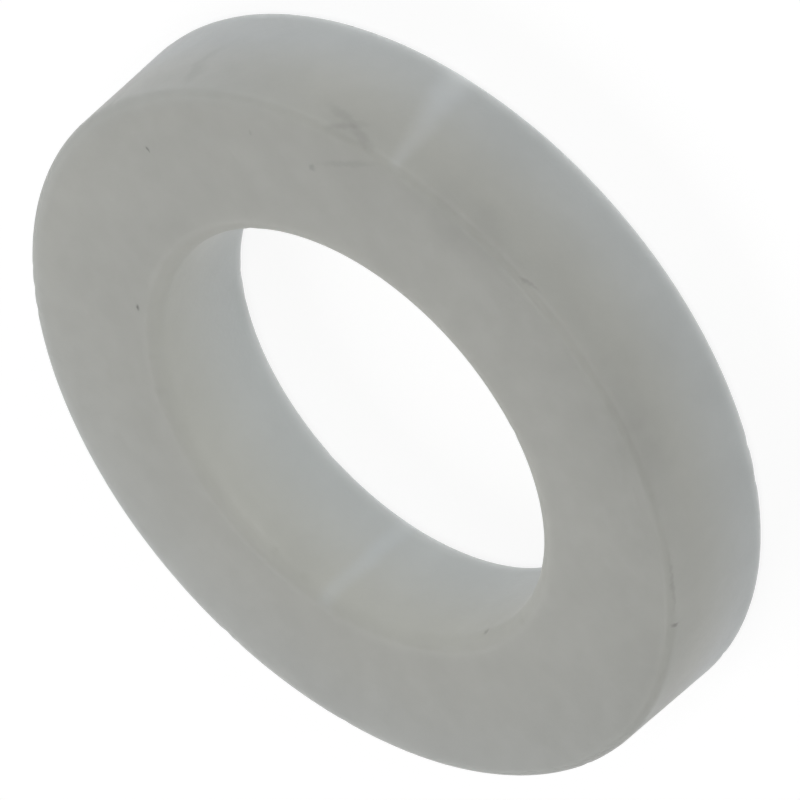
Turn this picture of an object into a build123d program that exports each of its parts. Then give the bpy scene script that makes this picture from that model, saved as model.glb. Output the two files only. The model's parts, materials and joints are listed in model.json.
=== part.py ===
from build123d import *
from math import atan, cos, degrees, tan
import os

# Flat washer in natural nylon: one moulded ring with no other pieces and nothing that moves.
# Millimetres, +Z up. The washer lies on its bottom face, with the origin on the bore's axis
# at the height of that face.

# Driving dimensions
bore_diameter = 10.5  # clearance for a 10 mm screw
outside_diameter = 18.0  # at the widest place, just below the top face
thickness = 3.2
outer_wall_draft = 0.1  # how far the outer wall leans in, on the radius, from top to bottom
outer_rim_radius = 0.2  # rounding of the two outer edges
bore_rim_radius = 0.4  # rounding of the two edges of the bore

# Worked-out sizes
bore_radius = bore_diameter / 2
draft_angle = atan(outer_wall_draft / thickness)
# Rounding the top edge takes a little off its widest place, so the sharp edge starts further out.
rounding_loss = outer_rim_radius * (tan(draft_angle) + 1 / cos(draft_angle) - 1)
sharp_top_radius = outside_diameter / 2 + rounding_loss
sharp_bottom_radius = sharp_top_radius - outer_wall_draft

os.makedirs("parts", exist_ok=True)

# Washer: the section of the ring turned once round the axis, then its four edges rounded
with BuildPart() as washer:
    with BuildSketch(Plane.XZ) as ring_section:
        with BuildLine() as ring_outline:
            Polyline(
                (bore_radius, 0),
                (sharp_bottom_radius, 0),
                (sharp_top_radius, thickness),
                (bore_radius, thickness),
                close=True,
            )
        make_face()
    revolve(axis=Axis.Z)
    circular_edges = washer.edges().filter_by(GeomType.CIRCLE).sort_by(SortBy.RADIUS)
    bore_rims = circular_edges[:2]
    outer_rims = circular_edges[2:]
    fillet(bore_rims, bore_rim_radius)
    fillet(outer_rims, outer_rim_radius)

washer.part.label = "washer"
export_step(washer.part, "parts/washer.step")

widest = washer.part.bounding_box().size
print(f"washer {widest.X:.3f} x {widest.Y:.3f} x {widest.Z:.3f} mm")
print(f"volume {washer.part.volume:.2f} mm3, draft {degrees(draft_angle):.2f} degrees")
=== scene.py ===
import json
import math

import bpy
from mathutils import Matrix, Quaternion, Vector


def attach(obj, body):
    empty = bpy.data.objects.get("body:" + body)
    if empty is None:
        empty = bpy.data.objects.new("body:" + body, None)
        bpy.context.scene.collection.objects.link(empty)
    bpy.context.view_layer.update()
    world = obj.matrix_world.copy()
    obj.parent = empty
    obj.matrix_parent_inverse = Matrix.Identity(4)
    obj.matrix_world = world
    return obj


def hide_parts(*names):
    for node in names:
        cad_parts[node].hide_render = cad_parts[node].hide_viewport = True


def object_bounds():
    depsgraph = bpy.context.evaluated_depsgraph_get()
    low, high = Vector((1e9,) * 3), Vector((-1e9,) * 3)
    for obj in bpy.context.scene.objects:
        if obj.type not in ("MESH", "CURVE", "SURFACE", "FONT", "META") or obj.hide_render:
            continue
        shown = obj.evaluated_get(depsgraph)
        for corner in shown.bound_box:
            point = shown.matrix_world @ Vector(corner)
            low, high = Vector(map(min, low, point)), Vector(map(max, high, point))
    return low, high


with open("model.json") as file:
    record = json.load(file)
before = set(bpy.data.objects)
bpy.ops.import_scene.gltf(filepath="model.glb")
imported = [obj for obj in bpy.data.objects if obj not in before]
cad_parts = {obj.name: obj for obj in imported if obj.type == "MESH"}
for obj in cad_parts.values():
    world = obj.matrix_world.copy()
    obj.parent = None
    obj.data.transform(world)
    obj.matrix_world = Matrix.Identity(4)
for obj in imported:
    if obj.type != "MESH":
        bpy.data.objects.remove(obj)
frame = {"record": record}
cad_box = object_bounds()
lowest, highest = cad_box

# Camera: a long lens well away from the ring, looking down at it and rolled over on its side,
# so that the ring seems to stand on its edge.
ring_centre = (lowest + highest) / 2
outside_radius = (highest.x - lowest.x) / 2
view_elevation = math.radians(34.27)
camera_roll = math.radians(-131.4)
camera_distance = 27.53 * outside_radius
camera_sidestep = 0.0231 * outside_radius
focal_length_mm = 513.5

towards_camera = Vector((0, -math.cos(view_elevation), math.sin(view_elevation)))
level = (-towards_camera).to_track_quat("-Z", "Y")
camera = bpy.data.objects.new("camera", bpy.data.cameras.new("camera"))
bpy.context.scene.collection.objects.link(camera)
camera.data.lens = focal_length_mm
camera.rotation_mode = "QUATERNION"
camera.rotation_quaternion = level @ Quaternion((0, 0, 1), camera_roll)
camera_right = camera.rotation_quaternion @ Vector((1, 0, 0))
camera.location = ring_centre + towards_camera * camera_distance + camera_right * camera_sidestep
bpy.context.scene.camera = camera


# Washer: one ring of natural nylon, moulded in one shot and tumbled, which leaves its edges round
# and its skin a little uneven. It is made as the mould cavity is: a tapered section with rounded
# corners, turned once round the bore.
MM = 0.001
bore = next(mount for mount in frame["record"]["mounts"] if mount["name"] == "bore")
bore_radius = bore["dims"]["r_mm"] * MM
thickness = highest.z - lowest.z
bore_rim_radius = (thickness - bore["dims"]["length_mm"] * MM) / 2
outer_rim_radius = 0.2 * MM
wall_lean = 0.1 * MM
crown_start = 6.2 * MM
crown_drop = 0.04 * MM
segments_round = 640
row_height = 0.1 * MM
corner_rows = 6
skin_unevenness = 0.012 * MM
skin_waves = 0.35 / MM
edge_zone = 0.35 * MM
dent_width = 0.2 * MM
dent_depth = 0.018 * MM
dent_share = 0.0022
dent_seed = 7


def polar(azimuth, radius, height):
    """A point by its angle round the axis, in degrees from -Y towards +X."""
    a = math.radians(azimuth)
    return Vector((radius * math.sin(a), -radius * math.cos(a), height))


def add(tree, kind, inputs=None, **settings):
    """Adds a node, makes its settings, and fills its inputs with plain values or wires."""
    node = tree.nodes.new(kind)
    for name, value in settings.items():
        setattr(node, name, value)
    for key, value in (inputs or {}).items():
        if isinstance(value, bpy.types.NodeSocket):
            tree.links.new(value, node.inputs[key])
        else:
            node.inputs[key].default_value = value
    return node


def maths(tree, operation, *values):
    """One arithmetic step on plain numbers or wires."""
    return add(tree, "ShaderNodeMath", dict(enumerate(values)), operation=operation).outputs[0]


def total(tree, *values):
    """The sum of any count of plain numbers or wires."""
    result = values[0]
    for value in values[1:]:
        result = maths(tree, "ADD", result, value)
    return result


def scaled(tree, vector, factor):
    """A vector made longer or shorter."""
    inputs = {"Vector": vector, "Scale": factor}
    return add(tree, "ShaderNodeVectorMath", inputs, operation="SCALE").outputs["Vector"]


def fade(tree, value, full, none):
    """A soft step: 1 where value is at full, 0 where it is at none, and smooth between."""
    inputs = {"Value": value, "From Min": none, "From Max": full, "To Min": 0.0, "To Max": 1.0}
    node = add(tree, "ShaderNodeMapRange", inputs, interpolation_type="SMOOTHSTEP", clamp=True)
    return node.outputs["Result"]


def round_axis(tree, place):
    """The distance from the bore's axis, and the height, of a place."""
    x, y, z = add(tree, "ShaderNodeSeparateXYZ", {0: place}).outputs
    across = add(tree, "ShaderNodeCombineXYZ", {"X": x, "Y": y}).outputs[0]
    return add(tree, "ShaderNodeVectorMath", {0: across}, operation="LENGTH").outputs["Value"], z


# Knocks that this ring has taken, by angle, distance from the axis and height
knocks = [polar(117.3, 5.81 * MM, thickness), polar(77.3, 7.68 * MM, thickness),
          polar(257, 5.33 * MM, 2.92 * MM), polar(301, 8.96 * MM, 3.04 * MM)]

ring_sizes = {
    "Bore Radius": ("NodeSocketFloat", bore_radius),
    "Outside Radius": ("NodeSocketFloat", outside_radius),
    "Wall Lean": ("NodeSocketFloat", wall_lean),
    "Thickness": ("NodeSocketFloat", thickness),
    "Bore Rim Radius": ("NodeSocketFloat", bore_rim_radius),
    "Outer Rim Radius": ("NodeSocketFloat", outer_rim_radius),
    "Crown Start": ("NodeSocketFloat", crown_start),
    "Crown Drop": ("NodeSocketFloat", crown_drop),
    "Segments Round": ("NodeSocketInt", segments_round),
    "Row Height": ("NodeSocketFloat", row_height),
    "Corner Rows": ("NodeSocketInt", corner_rows),
    "Skin Unevenness": ("NodeSocketFloat", skin_unevenness),
    "Dent Width": ("NodeSocketFloat", dent_width),
    "Dent Depth": ("NodeSocketFloat", dent_depth),
    "Dent Share": ("NodeSocketFloat", dent_share),
    "Seed": ("NodeSocketInt", dent_seed),
    "Nylon": ("NodeSocketMaterial", None),
}


def ring_tree():
    """The ring as a node tree: section, rounded corners, one turn, crown, uneven skin, dents."""
    tree = bpy.data.node_groups.new("moulded_ring", "GeometryNodeTree")
    tree.interface.new_socket("Geometry", in_out="OUTPUT", socket_type="NodeSocketGeometry")
    for name, (kind, _) in ring_sizes.items():
        tree.interface.new_socket(name, in_out="INPUT", socket_type=kind)
    size = tree.nodes.new("NodeGroupInput").outputs
    position = add(tree, "GeometryNodeInputPosition").outputs[0]
    normal = add(tree, "GeometryNodeInputNormal").outputs[0]

    # Section: a four-sided outline whose bore side is upright and whose outer side leans
    top_width = maths(tree, "SUBTRACT", size["Outside Radius"], size["Bore Radius"])
    bottom_width = maths(tree, "SUBTRACT", top_width, size["Wall Lean"])
    half_lean = maths(tree, "MULTIPLY", size["Wall Lean"], -0.5)
    section = add(tree, "GeometryNodeCurvePrimitiveQuadrilateral", {
        "Height": size["Thickness"], "Bottom Width": top_width, "Top Width": bottom_width,
        "Offset": half_lean}, mode="TRAPEZOID")

    # Rounded corners, with the larger radius on the bore side
    side = add(tree, "ShaderNodeSeparateXYZ", {0: position}).outputs["X"]
    on_bore_side = add(tree, "FunctionNodeCompare", {0: side, 1: 0.0}, operation="LESS_THAN")
    corner_radius = add(tree, "GeometryNodeSwitch", {
        "Switch": on_bore_side.outputs[0], "False": size["Outer Rim Radius"],
        "True": size["Bore Rim Radius"]}, input_type="FLOAT")
    rounded = add(tree, "GeometryNodeFilletCurve", {
        "Curve": section.outputs[0], "Count": size["Corner Rows"],
        "Radius": corner_radius.outputs[0]}, mode="POLY")

    # Long sides are cut into rows of even height
    following = add(tree, "GeometryNodeOffsetPointInCurve", {"Offset": 1}).outputs["Point Index"]
    next_point = add(tree, "GeometryNodeFieldAtIndex", {"Index": following, "Value": position},
                     data_type="FLOAT_VECTOR", domain="POINT").outputs[0]
    side_length = add(tree, "ShaderNodeVectorMath", {0: position, 1: next_point},
                      operation="DISTANCE").outputs["Value"]
    cuts = maths(tree, "FLOOR", maths(tree, "DIVIDE", side_length, size["Row Height"]))
    rows = add(tree, "GeometryNodeSubdivideCurve", {"Curve": rounded.outputs[0], "Cuts": cuts})

    # One turn round the bore, then the ring is set upright on its bottom face
    middle_radius = maths(tree, "MULTIPLY_ADD", top_width, 0.5, size["Bore Radius"])
    turn = add(tree, "GeometryNodeCurvePrimitiveCircle", {
        "Resolution": size["Segments Round"], "Radius": middle_radius})
    turned = add(tree, "GeometryNodeCurveToMesh", {
        "Curve": turn.outputs[0], "Profile Curve": rows.outputs[0]})
    half_height = add(tree, "ShaderNodeCombineXYZ", {
        "Z": maths(tree, "MULTIPLY", size["Thickness"], 0.5)}).outputs[0]
    upright = add(tree, "GeometryNodeTransform", {
        "Geometry": turned.outputs[0], "Translation": half_height, "Rotation": (math.pi, 0, 0)})

    # Crown: both faces fall away a little towards the outer rim, as they do on thick moulded rings
    radius, height = round_axis(tree, position)
    past_start = maths(tree, "SUBTRACT", radius, size["Crown Start"])
    crown_width = maths(tree, "SUBTRACT", size["Outside Radius"], size["Crown Start"])
    share_out = maths(tree, "MAXIMUM", maths(tree, "DIVIDE", past_start, crown_width), 0.0)
    fall = maths(tree, "MULTIPLY", maths(tree, "POWER", share_out, 2.0), size["Crown Drop"])
    share_up = maths(tree, "DIVIDE", height, size["Thickness"])
    to_middle = maths(tree, "MULTIPLY_ADD", share_up, -2.0, 1.0)
    crown_shift = add(tree, "ShaderNodeCombineXYZ", {
        "Z": maths(tree, "MULTIPLY", fall, to_middle)}).outputs[0]
    crowned = add(tree, "GeometryNodeSetPosition", {
        "Geometry": upright.outputs[0], "Offset": crown_shift})

    # Uneven skin: it only sinks, so that the ring never grows past its cavity
    skin_noise = add(tree, "ShaderNodeTexNoise", {
        "Vector": position, "Scale": skin_waves, "Detail": 2.0, "Roughness": 0.5}).outputs["Fac"]
    sink = maths(tree, "MULTIPLY", maths(tree, "MULTIPLY", skin_noise, size["Skin Unevenness"]), -1.0)
    skin = add(tree, "GeometryNodeSetPosition", {
        "Geometry": crowned.outputs[0], "Offset": scaled(tree, normal, sink)})

    # Dents from tumbling: small hollows at seeded points of the rounded edges, and at the knocks
    to_outer = maths(tree, "SUBTRACT", size["Outside Radius"], radius)
    to_bore = maths(tree, "SUBTRACT", radius, size["Bore Radius"])
    to_side = maths(tree, "MINIMUM", to_outer, to_bore)
    to_face = maths(tree, "MINIMUM", height, maths(tree, "SUBTRACT", size["Thickness"], height))
    near_edge = maths(tree, "LESS_THAN", maths(tree, "ADD", to_side, to_face), edge_zone)
    chance = add(tree, "FunctionNodeRandomValue", {
        "Probability": size["Dent Share"], "Seed": size["Seed"]}, data_type="BOOLEAN")
    chosen = add(tree, "FunctionNodeBooleanMath", {0: near_edge, 1: chance.outputs[3]},
                 operation="AND")
    spots = add(tree, "GeometryNodeMeshToPoints", {
        "Mesh": skin.outputs[0], "Selection": chosen.outputs[0]})
    all_spots = add(tree, "GeometryNodeJoinGeometry", {0: spots.outputs[0]})
    for knock in knocks:
        point = add(tree, "GeometryNodePoints", {"Count": 1, "Position": knock})
        tree.links.new(point.outputs[0], all_spots.inputs[0])
    reach = add(tree, "GeometryNodeProximity", {"Target": all_spots.outputs[0]},
                target_element="POINTS").outputs["Distance"]
    dent = maths(tree, "MULTIPLY", fade(tree, reach, 0.0, size["Dent Width"]), size["Dent Depth"])
    dented = add(tree, "GeometryNodeSetPosition", {
        "Geometry": skin.outputs[0],
        "Offset": scaled(tree, normal, maths(tree, "MULTIPLY", dent, -1.0))})

    smooth = add(tree, "GeometryNodeSetShadeSmooth", {"Geometry": dented.outputs[0]})
    whole = add(tree, "GeometryNodeRealizeInstances", {"Geometry": smooth.outputs[0]})
    dressed = add(tree, "GeometryNodeSetMaterial", {
        "Geometry": whole.outputs[0], "Material": size["Nylon"]})
    add(tree, "NodeGroupOutput", {"Geometry": dressed.outputs[0]})
    return tree


# Natural nylon: undyed and cloudy, warm grey in the thick of the ring. Its cooler tint at the thin
# edges is painted glow.
# It is painted lighter in the bore against the bore's shade, and on two painted highlights.
thick_nylon = (0.443, 0.4465, 0.417, 1)
glow_tint_nylon = (0.428, 0.4465, 0.4465, 1)
satin_roughness = 0.46
grain_depth = 0.006 * MM
soak_depth = 0.9 * MM

# The material's places and widths are in millimetres
outer = outside_radius / MM
inner = bore_radius / MM
top = thickness / MM
highlight_plane_turn = math.radians(-26)
bore_highlight_width = 0.36
belly_height = 1.45


def tumbled_nylon():
    """The washer's material: cloudy nylon that light soaks into, with a satin skin."""
    material = bpy.data.materials.new("tumbled_nylon")
    material.use_nodes = True
    tree = material.node_tree
    shader = tree.nodes["Principled BSDF"]
    place = scaled(tree, add(tree, "ShaderNodeTexCoord").outputs["Object"], 1 / MM)
    radius, height = round_axis(tree, place)

    def times(*values):
        """The product of any count of plain numbers or wires."""
        result = values[0]
        for value in values[1:]:
            result = maths(tree, "MULTIPLY", result, value)
        return result

    def cloud(scale, detail=2.0):
        """Noise about zero, from about -0.5 to 0.5, with scale in cells for each millimetre."""
        noise = add(tree, "ShaderNodeTexNoise", {"Vector": place, "Scale": scale, "Detail": detail})
        return maths(tree, "SUBTRACT", noise.outputs["Fac"], 0.5)

    def ragged(amount, scale):
        """The place, pushed about by noise, for marks with uneven borders."""
        noise = add(tree, "ShaderNodeTexNoise", {"Vector": place, "Scale": scale, "Detail": 2.0})
        off = add(tree, "ShaderNodeVectorMath", {0: noise.outputs["Color"], 1: (0.5, 0.5, 0.5)},
                  operation="SUBTRACT").outputs["Vector"]
        pushed = scaled(tree, off, amount)
        return add(tree, "ShaderNodeVectorMath", {0: place, 1: pushed}).outputs["Vector"]

    ragged_fine = ragged(0.16, 6.0)
    ragged_broad = ragged(1.4, 1.1)

    def mark(azimuth, radius, height, long, wide, high, turn=0, lean=0, core=0.2, broad=False):
        """An oval mark on the skin, long round the ring, wide across it and high along the axis."""
        seen = add(tree, "ShaderNodeMapping", {
            "Vector": ragged_broad if broad else ragged_fine,
            "Location": polar(azimuth, radius, height),
            "Rotation": (0, math.radians(lean), math.radians(azimuth + turn)),
            "Scale": (long, wide, high)}, vector_type="TEXTURE").outputs[0]
        away = add(tree, "ShaderNodeVectorMath", {0: seen}, operation="LENGTH").outputs["Value"]
        return fade(tree, away, core, 1.0)

    # Zones: the bore, the outer wall with its lean taken out, and how far out on a face
    in_bore = fade(tree, radius, inner + 0.1, inner + 0.45)
    up_wall = maths(tree, "MULTIPLY_ADD", height, 1 / top, -0.5)
    wall_shortfall = maths(tree, "MULTIPLY_ADD", up_wall, -wall_lean / MM, 0.5 * wall_lean / MM)
    on_wall = fade(tree, maths(tree, "ADD", radius, wall_shortfall), outer + 0.25, outer - 0.75)
    past_crown = maths(tree, "MAXIMUM", maths(tree, "SUBTRACT", radius, crown_start / MM), 0.0)

    # Painted highlights: pale streaks where a lamp's reflection falls on the curved walls, in one
    # plane through the axis
    across_plane = add(tree, "ShaderNodeMapping", {
        "Vector": ragged(0.25, 1.5), "Rotation": (0, 0, highlight_plane_turn)}).outputs[0]
    off_plane, along_plane, _ = add(tree, "ShaderNodeSeparateXYZ", {0: across_plane}).outputs
    leaning = maths(tree, "ABSOLUTE", total(tree, off_plane, times(up_wall, 0.6)))
    near_half = fade(tree, along_plane, -1.0, 1.0)
    far_half = fade(tree, along_plane, 1.0, -1.0)
    wall_highlight_width = total(tree, 0.45, times(up_wall, -0.45))
    wall_highlight = times(fade(tree, radius, outer, outer - 0.3), near_half,
                      fade(tree, leaning, 0.0, wall_highlight_width))
    bore_highlight = times(in_bore, far_half,
                      fade(tree, maths(tree, "ABSOLUTE", off_plane), 0.0, bore_highlight_width))

    # Painted light: lighter towards one side of the ring, where more light falls
    lit_side = total(tree, times(along_plane, 0.03 / outer), times(off_plane, 0.055 / outer))
    off_belly = maths(tree, "SUBTRACT", height, belly_height)

    # Painted glow: a cooler tint for light shining through thin nylon, 0 in the thick of the ring, 1
    # at the walls' lower edges, part on the lit side and the painted highlights
    low_on_wall = times(on_wall, fade(tree, height, 0.3, 2.4))
    low_in_bore = times(in_bore, fade(tree, height, 0.3, 2.9))
    painted_glow = total(
        tree, low_on_wall, times(low_in_bore, 0.9),
        times(on_wall, fade(tree, off_plane, 6.0, 1.0), 0.5),
        times(past_crown, maths(tree, "MAXIMUM", along_plane, 0.0), 0.02),
        times(maths(tree, "ADD", wall_highlight, bore_highlight), 0.4))
    hue = add(tree, "ShaderNodeMix", {0: painted_glow, 6: thick_nylon, 7: glow_tint_nylon},
              data_type="RGBA").outputs[2]

    # Brightness: 1 is plain nylon, more is lighter and less is darker; most terms below are painted
    # light and shade
    tone_and_painted_light = [
        1.02,
        # The bore: painted light against the bore's shade, most about half-way up, and painted shade
        # at its bottom edge
        times(in_bore, 0.203),
        times(in_bore, off_belly, off_belly, -0.036),
        times(in_bore, fade(tree, height, 0.2, 0.7), -0.08),
        # The outer wall: painted shade towards its top, its bottom edge and one side, less of it on
        # its rim
        times(on_wall, 0.025),
        times(on_wall, fade(tree, height, top, 0.4), -0.185),
        times(on_wall, fade(tree, height, top - 0.04, top - 0.14), 0.085),
        times(on_wall, fade(tree, height, top - 0.14, top - 0.45), -0.02),
        times(on_wall, fade(tree, height, 0.1, 0.8), -0.03),
        times(on_wall, fade(tree, off_plane, 6.5, 2.5), -0.055),
        # Painted light on one side of the ring and on the painted highlights, and the nylon's own
        # cloudiness over the whole
        times(past_crown, lit_side, 0.58),
        times(wall_highlight, 0.12),
        times(bore_highlight, 0.075),
        times(cloud(0.45), 0.11),
        times(cloud(2.2), 0.05),
        # A painted pool of light in the bore beside its painted highlight
        times(in_bore, mark(217, inner, 0.8, 1.1, 1.0, 1.6, core=0.0, broad=True), 0.05),
    ]
    # Darker patches: painted dark reflections on the outer rim at 11 and -28 degrees and on the wall
    # at 64 degrees, painted shade on the wall at 13 degrees and in the bore at 193 degrees, and
    # darker patches of the skin at 33 and 260 degrees
    shade_and_dark_patches = [
        (mark(11, outer - 0.3, 3.0, 2.0, 1.2, 0.8, core=0.0, broad=True), 0.06),
        (mark(13, outer, 1.2, 2.4, 1.0, 1.9, core=0.0, broad=True), 0.025),
        (mark(-28, outer - 0.2, 3.0, 2.2, 1.2, 0.9, core=0.0, broad=True), 0.05),
        (mark(33, outer - 0.2, 3.0, 1.0, 0.9, 0.6, core=0.0, broad=True), 0.05),
        (mark(64, outer, 2.2, 0.3, 1.0, 1.2, broad=True), 0.07),
        (mark(193, inner, 2.6, 1.2, 1.0, 1.3, core=0.0, broad=True), 0.05),
        (mark(260, inner, 1.5, 2.0, 1.0, 2.2, core=0.0, broad=True), 0.05),
    ]
    scratches = [
        (mark(117.3, 5.81, top, 0.13, 0.06, 0.4, turn=20), 0.5),
        (mark(77.3, 7.68, top, 0.06, 0.1, 0.4), 0.4),
        (mark(51, 8.02, top, 0.09, 0.06, 0.4, turn=80), 0.1),
        (mark(257, inner, 2.92, 0.13, 0.4, 0.08, lean=20), 0.25),
        (mark(301, outer, 3.04, 0.08, 0.3, 0.16), 0.3),
        (mark(309, outer, 3.08, 1.4, 0.3, 0.06), 0.1),
        (mark(359.5, outer, 3.05, 0.42, 0.3, 0.08, lean=-14), 0.16),
        (mark(32, 8.2, top, 1.2, 0.12, 0.4, turn=30), 0.08),
        (mark(39, 7.61, top, 0.15, 0.12, 0.4, turn=30), 0.18),
        (mark(31, outer, 2.9, 0.8, 0.5, 0.18, lean=24), 0.08),
        (mark(34, outer, 2.85, 0.7, 0.5, 0.18, lean=-40), 0.08),
        (mark(36, outer, 2.6, 0.6, 0.5, 0.18, lean=10), 0.08),
    ]
    for dark_mark, depth in shade_and_dark_patches + scratches:
        tone_and_painted_light.append(times(dark_mark, -depth))
    colour = scaled(tree, hue, total(tree, *tone_and_painted_light))
    tree.links.new(colour, shader.inputs["Base Color"])

    # Skin: satin from tumbling, a little rougher in patches and glossier on the painted highlights
    grain = cloud(9.0, detail=3.0)
    scuffed = fade(tree, cloud(1.3), -0.1, 0.15)
    roughness = total(tree, satin_roughness, times(scuffed, 0.05), times(grain, 0.15),
                      times(maths(tree, "ADD", wall_highlight, bore_highlight), -0.06))
    tree.links.new(roughness, shader.inputs["Roughness"])
    bump = add(tree, "ShaderNodeBump", {"Strength": 0.7, "Distance": grain_depth, "Height": grain})
    tree.links.new(bump.outputs["Normal"], shader.inputs["Normal"])

    shader.inputs["IOR"].default_value = 1.53
    shader.inputs["Specular IOR Level"].default_value = 0.25
    shader.inputs["Subsurface Weight"].default_value = 1.0
    shader.inputs["Subsurface Radius"].default_value = (1.0, 1.0, 1.0)
    shader.inputs["Subsurface Scale"].default_value = soak_depth
    return material


ring_sizes["Nylon"] = ("NodeSocketMaterial", tumbled_nylon())

blank = bpy.data.objects.new("blank", bpy.data.meshes.new("blank"))
bpy.context.scene.collection.objects.link(blank)
moulding = blank.modifiers.new("moulding", "NODES")
moulding.node_group = ring_tree()
for item in moulding.node_group.interface.items_tree:
    if item.in_out == "INPUT":
        moulding[item.identifier] = ring_sizes[item.name][1]
moulded = blank.evaluated_get(bpy.context.evaluated_depsgraph_get())
washer = bpy.data.objects.new("moulded_washer", bpy.data.meshes.new_from_object(moulded))
bpy.context.scene.collection.objects.link(washer)
bpy.data.objects.remove(blank)

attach(washer, "root")
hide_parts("washer")


# Floor: a broad sheet of matt white plastic lit softly from below, as on a light table.
floor_reach = 220 * outside_radius
floor_gap = 0.02 * MM
floor_mesh = bpy.data.meshes.new("floor")
corners = [(-1, -1), (1, -1), (1, 1), (-1, 1)]
floor_mesh.from_pydata([(floor_reach * u, floor_reach * v, lowest.z - floor_gap) for u, v in corners],
                       [], [(0, 1, 2, 3)])
floor = bpy.data.objects.new("floor", floor_mesh)
bpy.context.scene.collection.objects.link(floor)
floor_paint = bpy.data.materials.new("light_table")
floor_paint.use_nodes = True
table_shader = floor_paint.node_tree.nodes["Principled BSDF"]
table_shader.inputs["Base Color"].default_value = (0.3, 0.3, 0.3, 1)
table_shader.inputs["Roughness"].default_value = 1.0
table_shader.inputs["Specular IOR Level"].default_value = 0.0
table_shader.inputs["Emission Color"].default_value = (1.0, 1.0, 1.0, 1)
table_shader.inputs["Emission Strength"].default_value = 0.8
floor_mesh.materials.append(floor_paint)


# Studio light: a dim even room, with four broad soft panels low in front, low beside, high behind
# and nearly overhead.
room = bpy.data.worlds.new("room")
room.use_nodes = True
room.node_tree.nodes["Background"].inputs["Color"].default_value = (1.0, 1.0, 1.0, 1)
room.node_tree.nodes["Background"].inputs["Strength"].default_value = 0.4
bpy.context.scene.world = room
bpy.context.scene.view_settings.view_transform = "Standard"
panel_width = 0.3
panel_distance = 0.6


def soft_panel(name, azimuth, elevation, watts):
    """A square lamp that faces the ring, with its azimuth in degrees from -Y towards +X."""
    rise = math.radians(elevation)
    away = polar(azimuth, math.cos(rise), math.sin(rise))
    lamp = bpy.data.lights.new(name, "AREA")
    lamp.size = panel_width
    lamp.energy = watts
    panel = bpy.data.objects.new(name, lamp)
    panel.location = ring_centre + away * panel_distance
    panel.rotation_mode = "QUATERNION"
    panel.rotation_quaternion = (-away).to_track_quat("-Z", "Y")
    bpy.context.scene.collection.objects.link(panel)


soft_panel("front_panel", 0, 12, 0.77)
soft_panel("side_panel", 90, 12, 0.22)
soft_panel("back_panel", 180, 40, 0.81)
soft_panel("overhead_panel", 0, 70, 0.5)
